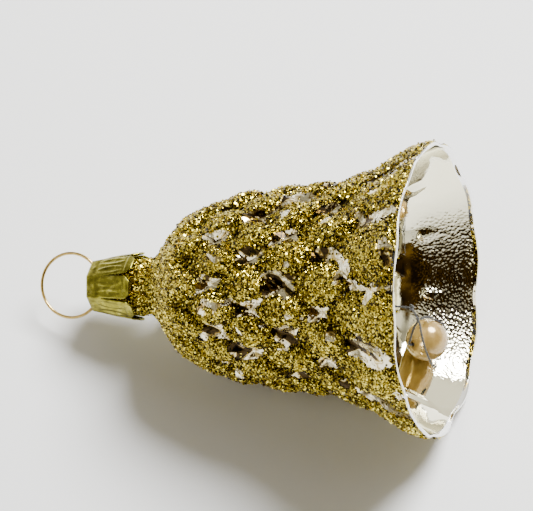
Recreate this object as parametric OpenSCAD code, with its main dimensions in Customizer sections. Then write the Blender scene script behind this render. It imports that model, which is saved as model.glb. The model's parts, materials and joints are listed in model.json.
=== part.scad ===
// Blown-glass bell ornament lying on its side: a relief-moulded glass bell with a pinched neck,
// a crimped sheet-metal cap, a sprung wire hanger, and a pearl clapper hung on a knotted thread.

/* [Bell] */
// Diameter across the lobes of the mouth, mm
mouth_diameter = 44.2; // [37:0.2:54]
// Diameter of the straight middle of the bell, over the bumps, mm
waist_diameter = 31.3; // [28:0.1:35]
// Diameter where the crown of the bell begins to round over, mm
shoulder_diameter = 26; // [23:0.1:28]
// Height of the bell from its mouth to the root of its neck, mm
bell_height = 45.6; // [38:0.2:56]
// Thickness of the blown glass, mm
glass_wall = 0.7; // [0.5:0.05:1]
// Outside diameter of the neck, mm
neck_diameter = 8.2; // [7.6:0.1:10]
// Height of the neck above its root, mm
neck_height = 5.9; // [5:0.1:8]

/* [Relief] */
// Number of bumps in one row round the bell
bumps_round = 12; // [10:1:14]
// Distance between one staggered row of bumps and the next, mm
row_pitch = 6; // [5:0.1:7.2]
// Height of the flared lobes at the mouth, mm
lobe_height = 7.1; // [6:0.1:8.5]
// Depth of the creases between the bumps, mm
crease_depth = 1; // [0.5:0.05:1.3]
// Share of that depth left at the edge of the mouth
mouth_share = 0.6; // [0.4:0.05:1]

/* [Cap] */
// Gap between the neck's rim and the cap's flats, mm
cap_clearance = 0.2; // [0.1:0.01:0.3]
// Angle at which the cap's petals flare, degrees
cap_flare = 10.5; // [8:0.1:12]
// Height of the cap, mm
cap_height = 7.8; // [6.5:0.1:9]
// Thickness of the cap's sheet metal, mm
cap_sheet = 0.25; // [0.15:0.01:0.3]
// Width of the slit between two petals at the open end, mm
petal_slit = 0.9; // [0.5:0.05:1.2]
// Height of the unslit band under the top, mm
petal_band = 1.2; // [0.8:0.1:2]

/* [Hanger] */
// Diameter of the hanger wire, mm
wire_diameter = 0.5; // [0.4:0.02:0.6]
// Radius of the hanger's ring, to the middle of the wire, mm
ring_radius = 5; // [4.4:0.1:6]
// Gap round the wire in its two holes, mm
hole_clearance = 0.14; // [0.1:0.01:0.16]
// Gap between a spring leg and the neck's bore, mm
leg_clearance = 0.2; // [0.16:0.01:0.3]
// How far each leg reaches below the top of the cap, mm
leg_reach = 12; // [8:0.5:13]

/* [Clapper] */
// Diameter of the pearl bead, mm
bead_diameter = 6.5; // [5.4:0.1:7.6]
// Diameter of the hole through the bead, mm
bead_hole = 0.8; // [0.7:0.05:1]
// Distance of the resting bead's middle inside the mouth, mm
bead_inset = 5.5; // [4.5:0.1:7]
// Gap between the resting bead and the glass, mm
bead_gap = 0.25; // [0.1:0.05:0.4]
// Diameter of the thread, mm
thread_diameter = 0.36; // [0.3:0.02:0.4]
// Diameter of the tied knots, mm
knot_diameter = 1.1; // [1:0.05:1.3]
// Gap round a knot that turns, mm
knot_gap = 0.12; // [0.05:0.01:0.2]

/* [Hidden] */
$fn = 48;
around = 6 * bumps_round;              // samples in one ring of the glass
lobe_turn = 180 / bumps_round;         // angle from a notch to the middle of its lobe
mouth_radius = mouth_diameter / 2;
waist_radius = waist_diameter / 2;
shoulder_radius = shoulder_diameter / 2;
neck_radius = neck_diameter / 2;
bore_radius = neck_radius - glass_wall;
neck_top = bell_height + neck_height;
thread_radius = thread_diameter / 2;
wire_radius = wire_diameter / 2;
bead_radius = bead_diameter / 2;
knot_radius = knot_diameter / 2;

// Crest line of the bell as [height, radius], from the mouth to the root of the neck
crest = [
    [0, mouth_radius],
    [0.05 * bell_height, 0.06 * waist_radius + 0.94 * mouth_radius],
    [0.11 * bell_height, 0.27 * waist_radius + 0.73 * mouth_radius],
    [0.2 * bell_height, 0.59 * waist_radius + 0.41 * mouth_radius],
    [0.32 * bell_height, 0.84 * waist_radius + 0.16 * mouth_radius],
    [0.47 * bell_height, waist_radius],
    [0.61 * bell_height, 0.26 * shoulder_radius + 0.74 * waist_radius],
    [0.77 * bell_height, shoulder_radius],
    [0.865 * bell_height, 0.83 * shoulder_radius],
    [0.92 * bell_height, 0.585 * shoulder_radius],
    [0.965 * bell_height, 0.4 * shoulder_radius],
    [bell_height, neck_radius]
];

// Slope of the crest line at its point i, from its neighbours
function knot_slope(i) =
    let (a = max(i - 1, 0), b = min(i + 1, len(crest) - 1))
    (crest[b][1] - crest[a][1]) / (crest[b][0] - crest[a][0]);

// Cubic piece of the crest line between two of its points
function cubic(i, z) =
    let (p = crest[i], q = crest[i + 1], w = q[0] - p[0], t = (z - p[0]) / w)
    p[1] * (1 + 2 * t) * (1 - t) * (1 - t) + knot_slope(i) * w * t * (1 - t) * (1 - t)
    + q[1] * t * t * (3 - 2 * t) + knot_slope(i + 1) * w * t * t * (t - 1);

// Radius over the bumps at a height
function crest_radius(z) =
    z >= bell_height ? neck_radius
    : cubic(max([for (i = [0 : len(crest) - 2]) if (crest[i][0] <= z) i]), z);

// How much of the relief is left at a height: all of it on the body, none at the neck
function relief_share(z) =
    min(1, max(0, (0.9 * bell_height - z) / (0.12 * bell_height)))
    * (mouth_share + (1 - mouth_share) * min(1, z / lobe_height));

// Form of one bump: 1 at its middle, lower in the creases and 0 in the pits where they cross
function pillow(z, a) =
    let (
        row = 90 * max(0, z - lobe_height) / row_pitch,
        turn = bumps_round / 2 * (a - lobe_turn),
        u = abs(cos(turn + row)),
        v = abs(cos(turn - row))
    )
    0.6 * (u * u + v * v) / 2 + 0.4 * sqrt(u * v);

// Outside radius of the glass at a height and an angle, where 0 is straight up
function glass_radius(z, a) =
    crest_radius(z) - crease_depth * relief_share(z) * (1 - pillow(z, a));

// Inside radius of the glass, clear of the deepest crease
function inner_radius(z) =
    z >= bell_height ? bore_radius
    : max(bore_radius, crest_radius(z) - crease_depth * relief_share(z) - glass_wall);

// The bell lies on two lobes near its mouth and on the nearest bumps behind them. Each spot is
// [height, how far the glass reaches below the axis].
low_angles = [180 - 2 * lobe_turn : 5 : 180];
lobe_drop = max([for (a = low_angles) -glass_radius(0, a) * cos(a)]);
lip_spots = [
    for (z = [0 : bell_height / 90 : 0.2 * bell_height])
        [z, max([for (a = low_angles) -glass_radius(z, a) * cos(a)])]
];
back_spots = [
    for (z = [0.2 * bell_height : bell_height / 180 : bell_height])
        [z, max([for (a = low_angles) -glass_radius(z, a) * cos(a)])]
];
function tilt_from(lip) = atan(min([for (s = back_spots) (lip[1] - s[1]) / (s[0] - lip[0])]));
function reach(spot, tilt) = spot[1] * cos(tilt) + spot[0] * sin(tilt);
function lowest_lip(tilt, i = 0, best = 0) =
    i == len(lip_spots) ? lip_spots[best]
    : lowest_lip(tilt, i + 1, reach(lip_spots[i], tilt) > reach(lip_spots[best], tilt) ? i : best);
rest_tilt = tilt_from(lowest_lip(tilt_from(lip_spots[0])));
cap_top = neck_top + cap_height / 2;
cap_top_half = neck_radius + cap_clearance + cap_sheet - cap_height / 2 * tan(cap_flare);
cap_open_half = cap_top_half + cap_height * tan(cap_flare);
leg_offset = bore_radius - leg_clearance - wire_radius;
hole_radius = wire_radius + hole_clearance;
elbow_lift = 0.2;                      // the wire's bends, above the cap
ring_rise = sqrt(ring_radius * ring_radius - leg_offset * leg_offset) + elbow_lift;
ring_centre = cap_top + ring_rise;
ring_turn = 56;                        // angle of the ring's plane round the bell, from straight up
// Reach of the ring and of the mouth's low lobes along the ground, which set the origin
ring_spread = ring_radius * sqrt(pow(cos(rest_tilt), 2) + pow(sin(rest_tilt) * cos(ring_turn), 2));
back_reach = ring_centre * cos(rest_tilt) + ring_spread + wire_radius;
front_reach = lobe_drop * sin(rest_tilt);
mouth_x = (back_reach - front_reach) / 2;
mouth_z = reach(lowest_lip(rest_tilt), rest_tilt);

petal_count = 8;
petal_length = cap_height / cos(cap_flare);
stay_height = neck_top - 5;            // the lowest point of the thread stay
pivot_height = stay_height - thread_radius - knot_gap - knot_radius;

// Middle of the resting bead, below the axis of the bell
wall_slope = (inner_radius(bead_inset) - inner_radius(bead_inset + 1));
bead_drop = inner_radius(bead_inset)
    - (bead_radius + bead_gap) * sqrt(1 + wall_slope * wall_slope);
knot_drop = 5;                         // the lower knot, below the axis
knot_inset = 5.5;                      // the lower knot, inside the mouth
bead_axis = [0.61, -0.63, 0.48];       // direction of the bead's hole

// Routes of the threads, chosen by eye; x is up, y is to the side, z runs to the neck
stay_turn = -11.5;                     // angle of the stay round the neck, clear of the spring legs
stay_lift = neck_top - stay_height;
stay_half = [
    [neck_radius + 0.12, 0, stay_lift - 1.4],
    [neck_radius + 0.12, 0, stay_lift - 0.2],
    [neck_radius - 0.15, 0, stay_lift + 0.15],
    [bore_radius + 0.1, 0, stay_lift + 0.14],
    [bore_radius - 0.25, 0, stay_lift - 0.3],
    [2.2, 0, 2.4],
    [1, 0, 0.6],
    [0, 0, 0]
];
thread_span = pivot_height - knot_radius - knot_gap - knot_inset;
main_route = [
    for (p = [
        [0, 0, 1], [-0.3, 0, 0.93], [-1.1, 0.1, 0.82], [-2.1, 0.2, 0.67], [-3, 0.3, 0.52],
        [-3.7, 0.3, 0.37], [-4.3, 0.2, 0.22], [-4.8, 0.1, 0.09], [-knot_drop, 0, 0.01]
    ])
        [p[0], p[1], knot_inset + p[2] * thread_span]
];

// Places on and round the bead, measured from its middle
fork_drop = bead_drop - 8.4;           // where the pair parts, above the bead's middle
loop_route = [
    [bead_drop - knot_drop - knot_radius - knot_gap, 0, 0], [bead_drop - 6.6, 0, -0.05],
    [bead_drop - 7.4, 0, -0.1], [fork_drop, -0.1, -0.2], bead_radius * [1.6, -0.33, 0.17],
    bead_radius * [1.07, -0.67, 0.43], bead_radius * [0.7, -0.7, 0.55],
    bead_radius * [0.2, -0.21, 0.16], bead_radius * [-0.2, 0.21, -0.16],
    bead_radius * [-0.63, 0.65, -0.5], bead_radius * [-0.23, 0.73, -0.73],
    bead_radius * [0.3, 0.71, -0.7], bead_radius * [0.66, 0.73, -0.4],
    bead_radius * [1.3, 0.47, -0.23], [fork_drop - 0.4, 0.25, -0.4]
];
tail_route = [
    [bead_drop - 7.3, -0.3, -0.2], [bead_drop - 8.6, -0.8, -0.5], bead_radius * [1.63, -0.67, -0.27],
    bead_radius * [1.2, -0.9, -0.3], bead_radius * [0.57, -1.07, -0.33],
    bead_radius * [0, -1.17, -0.37], bead_radius * [-0.4, -1.17, -0.4],
    bead_radius * [-0.63, -1.1, -0.43]
];

// From the bell's own frame, mouth down at the origin, to the bell lying on the ground
module lying() {
    translate([mouth_x, 0, mouth_z])
        rotate([0, -90 - rest_tilt, 0])
            children();
}

// Places its children about the resting bead's middle
module at_bead() {
    translate([-bead_drop, 0, bead_inset])
        children();
}

function unit(v) = v / norm(v);

// Direction of a route at its point i
function heading(route, i) =
    unit(route[min(i + 1, len(route) - 1)] - route[max(i - 1, 0)]);

// Point on a smooth curve through a route, t of the way from its point i to the next
function along(route, i, t) =
    let (p = route[i], q = route[i + 1], w = norm(q - p))
    p * (1 + 2 * t) * (1 - t) * (1 - t) + heading(route, i) * w * t * (1 - t) * (1 - t)
    + q * t * t * (3 - 2 * t) + heading(route, i + 1) * w * t * t * (t - 1);

// Side direction carried along a path from one ring to the next without twisting
function carried(path, i) =
    i == 0 ? unit(cross(heading(path, 0), [0.3, 0.5, 0.8]))
    : let (h = heading(path, i), s = carried(path, i - 1)) unit(s - h * (s * h));

// A round thread swept along a route, with flat ends
module thread(route, steps) {
    sides = 8;
    path = [
        for (i = [0 : len(route) - 2], k = [0 : steps - 1]) along(route, i, k / steps),
        route[len(route) - 1]
    ];
    last = len(path) - 1;
    rings = [
        for (i = [0 : last])
            let (s = carried(path, i), up = cross(heading(path, i), s))
            for (k = [0 : sides - 1])
                path[i] + thread_radius * (s * cos(360 * k / sides) + up * sin(360 * k / sides))
    ];
    walls = [
        for (i = [0 : last - 1], k = [0 : sides - 1])
            let (a = i * sides + k, b = i * sides + (k + 1) % sides)
            for (tri = [[a, a + sides, b], [b, a + sides, b + sides]])
                tri
    ];
    ends = [
        [for (k = [0 : sides - 1]) k],
        [for (k = [sides - 1 : -1 : 0]) last * sides + k]
    ];
    polyhedron(rings, concat(walls, ends));
}

// Closed skin built ring by ring: up the outside from mouth to neck, then back down the inside
module glass_bell() {
    outer_heights = concat(
        [0, lobe_height / 3, lobe_height * 2 / 3],
        [for (z = [lobe_height : row_pitch / 3 : 0.9 * bell_height]) z],
        [0.92 * bell_height, 0.945 * bell_height, 0.97 * bell_height, bell_height, neck_top]
    );
    inner_heights = [
        neck_top, bell_height, 0.955 * bell_height, 0.9 * bell_height, 0.84 * bell_height,
        0.75 * bell_height, 0.6 * bell_height, 0.45 * bell_height, 0.3 * bell_height,
        0.2 * bell_height, 0.1 * bell_height, 0
    ];
    points = [
        for (z = outer_heights, k = [0 : around - 1])
            let (a = 360 * k / around, r = glass_radius(z, a))
            [r * cos(a), r * sin(a), z],
        for (z = inner_heights, k = [0 : around - 1])
            let (a = 360 * k / around, r = inner_radius(z))
            [r * cos(a), r * sin(a), z]
    ];
    ring_total = len(outer_heights) + len(inner_heights);
    faces = [
        for (i = [0 : ring_total - 1], k = [0 : around - 1])
            let (a = i * around, b = (i + 1) % ring_total * around, n = (k + 1) % around)
            for (tri = [[a + k, b + k, a + n], [a + n, b + k, b + n]])
                tri
    ];
    color("goldenrod") lying()
        polyhedron(points, faces);
}

// One flat petal of the cap, from its folded top edge down to its clipped end
module petal() {
    fold_half = cap_top_half * tan(180 / petal_count) + cap_sheet / 4;
    band_half = fold_half + petal_band * tan(cap_flare) * tan(180 / petal_count);
    end_half = cap_open_half * tan(180 / petal_count) - petal_slit / 2;
    clip = 0.8;
    translate([cap_top_half, 0, cap_top])
        rotate([0, 90 - cap_flare, 0])
            translate([0, 0, -cap_sheet])
                linear_extrude(cap_sheet)
                    polygon([
                        [0, -fold_half], [0, fold_half], [petal_band, band_half],
                        [petal_band + 0.3, end_half], [petal_length - clip, end_half],
                        [petal_length, end_half - clip], [petal_length, clip - end_half],
                        [petal_length - clip, -end_half], [petal_band + 0.3, -end_half],
                        [petal_band, -band_half]
                    ]);
}

module cap_crown() {
    plate_half = cap_top_half - 0.4 * cap_sheet;   // runs into the middle of the petals' sheet
    color("darkkhaki") lying()
        difference() {
            rotate([0, 0, ring_turn])
                union() {
                    translate([0, 0, cap_top - cap_sheet])
                        rotate([0, 0, 180 / petal_count])
                            cylinder(h = cap_sheet, r = plate_half / cos(180 / petal_count),
                                $fn = petal_count);
                    for (k = [0 : petal_count - 1])
                        rotate([0, 0, 360 * k / petal_count])
                            petal();
                }
            rotate([0, 0, ring_turn])
                for (side = [-1, 1])
                    translate([side * leg_offset, 0, cap_top - 3 * cap_sheet])
                        cylinder(h = 5 * cap_sheet, r = hole_radius);
        }
}

// An open ring whose two ends pass through the cap and run on as straight spring legs
module hanger_wire() {
    gap_half = asin(leg_offset / ring_radius);
    elbow_radius = 1.08 * wire_radius;
    color("gold") lying()
        rotate([0, 0, ring_turn])
            union() {
                translate([0, 0, ring_centre])
                    rotate([90, 0, 0])
                        rotate([0, 0, gap_half - 90])
                            rotate_extrude(angle = 360 - 2 * gap_half)
                                translate([ring_radius, 0])
                                    circle(r = wire_radius);
                for (side = [-1, 1])
                    translate([side * leg_offset, 0, cap_top]) {
                        translate([0, 0, elbow_lift])
                            sphere(r = elbow_radius);
                        translate([0, 0, -leg_reach])
                            cylinder(h = leg_reach + elbow_lift, r = wire_radius);
                    }
            }
}

// Thread hooked over both sides of the neck's rim, pinched there by the cap
module thread_stay() {
    back_half = [for (i = [len(stay_half) - 2 : -1 : 0]) [-stay_half[i][0], 0, stay_half[i][2]]];
    color("black") lying()
        translate([0, 0, stay_height])
            rotate([0, 0, stay_turn])
                thread(concat(stay_half, back_half), 3);
}

// Knot that rides on the stay and lets the clapper turn round the bell
module swivel_knot() {
    color("black") lying()
        translate([0, 0, pivot_height])
            sphere(r = knot_radius);
}

module clapper_thread() {
    color("black") lying()
        thread(main_route, 5);
}

module lower_knot() {
    color("black") lying()
        translate([-knot_drop, 0, knot_inset])
            sphere(r = knot_radius);
}

module bead_loop() {
    color("black") lying() at_bead()
        thread(loop_route, 4);
}

module thread_tail() {
    color("black") lying() at_bead()
        thread(tail_route, 4);
}

module pearl_bead() {
    polar = acos(bead_axis[2] / norm(bead_axis));
    bearing = atan2(bead_axis[1], bead_axis[0]);
    color("peachpuff") lying() at_bead()
        rotate([0, polar, bearing])
            difference() {
                sphere(r = bead_radius);
                cylinder(h = 3 * bead_radius, r = bead_hole / 2, center = true);
            }
}

glass_bell();
cap_crown();
hanger_wire();
thread_stay();
swivel_knot();
clapper_thread();
lower_knot();
bead_loop();
thread_tail();
pearl_bead();
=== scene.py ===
import json
import math
import bpy
import numpy as np
from mathutils import Matrix, Vector, noise


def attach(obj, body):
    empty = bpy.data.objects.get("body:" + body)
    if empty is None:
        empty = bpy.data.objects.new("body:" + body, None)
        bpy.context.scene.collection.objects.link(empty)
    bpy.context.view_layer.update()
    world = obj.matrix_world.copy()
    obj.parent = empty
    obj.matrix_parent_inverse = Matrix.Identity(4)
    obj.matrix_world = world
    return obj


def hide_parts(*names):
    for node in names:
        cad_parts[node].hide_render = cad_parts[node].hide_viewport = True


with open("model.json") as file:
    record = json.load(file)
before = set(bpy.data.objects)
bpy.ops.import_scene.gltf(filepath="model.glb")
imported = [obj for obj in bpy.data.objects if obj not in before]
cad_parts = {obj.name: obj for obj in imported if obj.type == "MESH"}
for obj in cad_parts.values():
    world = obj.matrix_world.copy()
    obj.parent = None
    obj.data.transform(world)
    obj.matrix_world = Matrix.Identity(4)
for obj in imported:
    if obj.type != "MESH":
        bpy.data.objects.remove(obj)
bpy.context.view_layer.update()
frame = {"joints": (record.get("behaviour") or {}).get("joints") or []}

# The bell has its own axes: x up across the bell, y sideways, z from the mouth to the neck

bell = {
    "mouthRadius": 22.1,
    "waistRadius": 15.65,
    "shoulderRadius": 13.0,
    "neckRadius": 4.1,
    "height": 45.6,
    "neckTop": 51.5,
    "pivotHeight": 45.65,   # where the clapper turns, from the mouth
    "wall": 0.55,
    "bumpsRound": 12,
    "rowPitch": 6.0,
    "lobeHeight": 7.1,
    "creaseDepth": 1.85,
    "skew": 0.5,            # how much steeper the bumps are on the side that faces the mouth
    "fullness": 1.4,        # higher for flatter bumps and narrower creases
    "ringSteps": 288,
    "rowSteps": 132,
    "flankStep": 0.5,       # how far along the slope of a bump is taken, mm
    "flankGain": 2.6,
    "lowestPoint": 0.01,    # kept above the ground, mm
    "clearBand": 0.8,       # unsilvered glass at the lip
    "lipWaves": (0.22, 0.14),
    "lipWaveReach": 6,
    "crinkleMiddle": 147,   # angle round the bell of the crinkled silver inside, degrees
    "crinkleReach": 30,
    "crinkleHeight": 9.5,   # how far up the inside it goes
}

orbit = [j for j in frame["joints"] if j["name"] == "clapper_orbit"][0]
mouthWay = Vector(orbit["axis"]).normalized()
upWay = Vector((-mouthWay.z, 0, mouthWay.x))
sideWay = Vector((0, 1, 0))
mouthCentre = Vector(orbit["pos_m"]) + mouthWay * bell["pivotHeight"] / 1000
bellMatrix = Matrix((
    (upWay.x, sideWay.x, -mouthWay.x, mouthCentre.x),
    (upWay.y, sideWay.y, -mouthWay.y, mouthCentre.y),
    (upWay.z, sideWay.z, -mouthWay.z, mouthCentre.z),
    (0, 0, 0, 1),
)) @ Matrix.Scale(0.001, 4)


def toWorld(points):
    m = np.array(bellMatrix)
    return np.asarray(points, float) @ m[:3, :3].T + m[:3, 3]


def newObject(name, points, faces, world=True):
    mesh = bpy.data.meshes.new(name)
    data = toWorld(points) if world else np.asarray(points, float)
    mesh.from_pydata(data.tolist(), [], faces)
    mesh.validate()
    mesh.update()
    obj = bpy.data.objects.new(name, mesh)
    bpy.context.scene.collection.objects.link(obj)
    return obj


def smooth(obj):
    obj.data.polygons.foreach_set("use_smooth", [True] * len(obj.data.polygons))


cameraLook = {
    "azimuth": 16.1,
    "elevation": 58.4,
    "roll": -5.6,
    "distance": 0.385,
    "target": (0.00297, 0.0, 0.02398),
    "lens": 175.6,
}


def makeCamera(look):
    a, e, r = (math.radians(look[k]) for k in ("azimuth", "elevation", "roll"))
    back = Vector((math.sin(a) * math.cos(e), -math.cos(a) * math.cos(e), math.sin(e)))
    right = Vector((math.cos(a), math.sin(a), 0))
    up = back.cross(right)
    sideTurn = right * math.cos(r) + up * math.sin(r)
    upTurn = up * math.cos(r) - right * math.sin(r)
    data = bpy.data.cameras.new("camera")
    data.lens = look["lens"]
    data.sensor_width = 36
    data.clip_start = 0.01
    camera = bpy.data.objects.new("camera", data)
    spot = Vector(look["target"]) + back * look["distance"]
    camera.matrix_world = Matrix((
        (sideTurn.x, upTurn.x, back.x, spot.x),
        (sideTurn.y, upTurn.y, back.y, spot.y),
        (sideTurn.z, upTurn.z, back.z, spot.z),
        (0, 0, 0, 1),
    ))
    bpy.context.scene.collection.objects.link(camera)
    bpy.context.scene.camera = camera


makeCamera(cameraLook)
print("camera placed")


def newMaterial(name):
    mat = bpy.data.materials.new(name)
    mat.use_nodes = True
    nodes = mat.node_tree.nodes
    return mat, nodes, mat.node_tree.links, nodes["Principled BSDF"]


def addNode(nodes, kind, **values):
    node = nodes.new(kind)
    for key, value in values.items():
        if hasattr(node, key):
            setattr(node, key, value)
        else:
            node.inputs[key.replace("_", " ")].default_value = value
    return node


def ramp(nodes, stops):
    node = nodes.new("ShaderNodeValToRGB")
    bar = node.color_ramp
    while len(bar.elements) < len(stops):
        bar.elements.new(0.5)
    for element, (spot, colour) in zip(bar.elements, stops):
        element.position = spot
        element.color = (*colour, 1)
    return node


# A shared group: fine uneven mottling for metal and glass, as a mask and a bump height
def makeMottle():
    group = bpy.data.node_groups.new("surfaceMottle", "ShaderNodeTree")
    face = group.interface
    face.new_socket("Scale", in_out="INPUT", socket_type="NodeSocketFloat")
    face.new_socket("Amount", in_out="INPUT", socket_type="NodeSocketFloat")
    face.new_socket("Mask", in_out="OUTPUT", socket_type="NodeSocketFloat")
    face.new_socket("Height", in_out="OUTPUT", socket_type="NodeSocketFloat")
    nodes, links = group.nodes, group.links
    start, end = nodes.new("NodeGroupInput"), nodes.new("NodeGroupOutput")
    spot = nodes.new("ShaderNodeTexCoord")
    cloud = addNode(nodes, "ShaderNodeTexNoise", Detail=4.0, Roughness=0.6)
    cells = addNode(nodes, "ShaderNodeTexVoronoi", feature="F1")
    blend = addNode(nodes, "ShaderNodeMath", operation="MULTIPLY")
    lift = addNode(nodes, "ShaderNodeMath", operation="MULTIPLY")
    for tex in (cloud, cells):
        links.new(spot.outputs["Object"], tex.inputs["Vector"])
        links.new(start.outputs["Scale"], tex.inputs["Scale"])
    links.new(cloud.outputs["Fac"], blend.inputs[0])
    links.new(start.outputs["Amount"], blend.inputs[1])
    links.new(cells.outputs["Distance"], lift.inputs[0])
    links.new(start.outputs["Amount"], lift.inputs[1])
    links.new(blend.outputs[0], end.inputs["Mask"])
    links.new(lift.outputs[0], end.inputs["Height"])
    return group


mottle = makeMottle()


def addMottle(nodes, scale, amount):
    node = nodes.new("ShaderNodeGroup")
    node.node_tree = mottle
    node.inputs["Scale"].default_value = scale
    node.inputs["Amount"].default_value = amount
    return node


crest = [
    (0.0, bell["mouthRadius"]),
    (2.3, 21.7), (5.0, 20.35), (9.1, 18.3), (14.6, 16.7),
    (21.4, bell["waistRadius"]), (27.8, 14.95),
    (35.1, bell["shoulderRadius"]), (39.4, 10.8), (42.0, 7.6), (44.0, 5.2),
    (bell["height"], bell["neckRadius"]),
    (bell["neckTop"], bell["neckRadius"]),
]


def crestRadius(z):
    xs = np.array([p[0] for p in crest])
    ys = np.array([p[1] for p in crest])
    slope = np.gradient(ys, xs)
    slope[-2:] = 0
    z = np.clip(np.asarray(z, float), xs[0], xs[-1])
    i = np.clip(np.searchsorted(xs, z, side="right") - 1, 0, len(xs) - 2)
    w = xs[i + 1] - xs[i]
    t = (z - xs[i]) / w
    return (ys[i] * (1 + 2 * t) * (1 - t) ** 2 + slope[i] * w * t * (1 - t) ** 2
            + ys[i + 1] * t * t * (3 - 2 * t) + slope[i + 1] * w * t * t * (t - 1))


def cellNoise(i, j):
    v = np.sin(i * 127.1 + j * 311.7) * 43758.5453
    return v - np.floor(v)


# 1 on the middle of a bump, lower in the creases and 0 in the pits where they cross
def pillow(z, a):
    turn = bell["bumpsRound"] / 2 * (a - math.pi / bell["bumpsRound"])
    row = math.pi / 2 * np.maximum(0, z - bell["lobeHeight"]) / bell["rowPitch"]
    u, v = turn + row, turn - row
    riseU = (u + math.pi / 2) % math.pi
    riseV = math.pi - (v + math.pi / 2) % math.pi
    cu = np.sin(riseU + bell["skew"] * np.sin(riseU))
    cv = np.sin(riseV + bell["skew"] * np.sin(riseV))
    low = 1 - 0.6 * (cu * cu + cv * cv) / 2 - 0.4 * np.sqrt(np.abs(cu * cv) + 0.004)
    form = 1 - np.clip(low, 0, 1) ** bell["fullness"]
    return np.minimum(1, form), np.round(u / math.pi), np.round(v / math.pi)


# Share of the relief left: none at the neck, little round the mouth apart from its underside
def reliefShare(z, a):
    top = np.clip((41.0 - z) / 6.0, 0, 1)
    under = np.clip((-np.cos(a) - 0.7) / 0.2, 0, 1)
    least = 0.22 + 0.17 * under
    return top * (least + (1 - least) * np.clip(z / bell["lobeHeight"], 0, 1) ** 0.8)


def reliefDepth(z, a):
    form, i, j = pillow(z, a)
    return bell["creaseDepth"] * reliefShare(z, a) * (1 - form * (1 - 0.08 * cellNoise(i, j)))


def bellRadius(z, a):
    return crestRadius(z) - reliefDepth(z, a)


# The inside is rounder than the outside; only the deepest pits show through
def insideRadius(z, a):
    depth = reliefDepth(z, a)
    flat = 1.45 * np.clip((bell["height"] - 1.5 - z) / 7, 0, 1) * np.clip(0.45 + z / 6, 0, 1)
    flat = np.maximum(flat, bell["wall"])
    return crestRadius(z) - np.maximum(flat, depth + 0.1)


# Ripple of the cut lip, mm along the axis
def lipShift(z, a):
    fade = np.clip(1 - z / bell["lipWaveReach"], 0, 1) ** 2
    even, uneven = bell["lipWaves"]
    return fade * (even * np.cos(bell["bumpsRound"] * a) + uneven * np.sin(5 * a + 0.8))


# How far a spot lies on the side of a bump that faces the mouth, from -1 to 1; it places painted shade on
# that side and painted highlight on the other
def mouthFlank(z, a):
    step = bell["flankStep"]
    rise = pillow(z + step, a)[0] - pillow(z - step, a)[0]
    return np.clip(rise * bell["flankGain"], -1, 1) * np.clip((36 - z) / 6, 0, 1)


# 1 on the bumps and on the smooth shoulder and neck, lower in the creases; it paints shade into the
# creases of the glitter
def bumpForm(z, a):
    form = pillow(z, a)[0]
    return form + (1 - form) * np.clip((z - 35) / 5, 0, 1)


def makeBell():
    n = bell["ringSteps"]
    a = np.linspace(0, 2 * math.pi, n, endpoint=False)
    rows = []                          # z, offset inward from the outer face
    for z in np.linspace(0.25, bell["height"], bell["rowSteps"]):
        rows.append((z, 0.0))
    for z in (47.5, 49.5, 51.2, 51.5):
        rows.append((z, 0.0))
    for z in (51.5, 50.5, 48.5, 46.5):
        rows.append((z, bell["wall"]))
    for z in np.linspace(bell["height"], 0.25, bell["rowSteps"] * 3 // 4):
        rows.append((z, bell["wall"]))
    rows.append((0.06, bell["wall"] * 0.82))
    rows.append((0.0, bell["wall"] * 0.5))
    rows.append((0.06, bell["wall"] * 0.18))
    points = []
    outerCount = bell["rowSteps"] + 4
    for row, (z, inset) in enumerate(rows):
        zz = np.full(n, z)
        inner = outerCount <= row < len(rows) - 3 and z <= bell["height"]
        r = insideRadius(zz, a) if inner else bellRadius(zz, a) - inset
        points.append(np.stack([r * np.cos(a), r * np.sin(a), zz + lipShift(zz, a)], 1))
    points = np.concatenate(points)
    total = len(rows)
    faces, slots = [], []
    for i in range(total):
        j = (i + 1) % total
        z = max(rows[i][0], rows[j][0])
        inner = i >= outerCount
        slot = 2 if z < bell["clearBand"] else (1 if inner else 0)
        for k in range(n):
            m = (k + 1) % n
            faces.append((i * n + k, j * n + k, j * n + m, i * n + m))
            slots.append(slot)
    data = toWorld(points)
    data[:, 2] = np.maximum(data[:, 2], bell["lowestPoint"] / 1000)
    obj = newObject("glassBell", data, faces, world=False)
    obj.data.polygons.foreach_set("material_index", slots)
    smooth(obj)
    zAll = np.repeat([row[0] for row in rows], n)
    aAll = np.tile(a, total)
    # Slope of each bump, stored for the painted shade and painted reflection bands on the silver
    flank = obj.data.attributes.new("flank", "FLOAT", "POINT")
    flank.data.foreach_set("value", mouthFlank(zAll, aAll))
    # Crinkled band inside the mouth, real folds; the same mask darkens it with a painted dark reflection
    side = np.clip(1.6 - np.abs(np.degrees(aAll) - bell["crinkleMiddle"]) / bell["crinkleReach"], 0, 1)
    crinkle = obj.data.attributes.new("crinkle", "FLOAT", "POINT")
    crinkle.data.foreach_set("value", np.clip((bell["crinkleHeight"] - zAll) / 3, 0, 1) * side)
    return obj


# Noise that lays out the painted reflection streaks on the silver
def addStreaks(nodes, scale):
    spot = nodes.new("ShaderNodeTexCoord")
    streaks = addNode(nodes, "ShaderNodeTexNoise", Scale=scale, Detail=2.0, Distortion=1.6)
    nodes.id_data.links.new(spot.outputs["Object"], streaks.inputs["Vector"])
    return streaks


# The bump's slope moves the outer tone towards painted dark shade on the side facing the mouth and painted
# highlight on the other
silver = {
    "streaks": 200.0,
    "flankShadeShift": 0.17,             # how far a bump's slope moves the tone
    # Colour of the painted dark reflection on the crinkled band
    "dimReflectionTint": (0.40, 0.37, 0.27, 1),
    "folds": 2000.0,
    "foldHeight": 0.00022,
    "ripples": 260.0,
}
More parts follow.
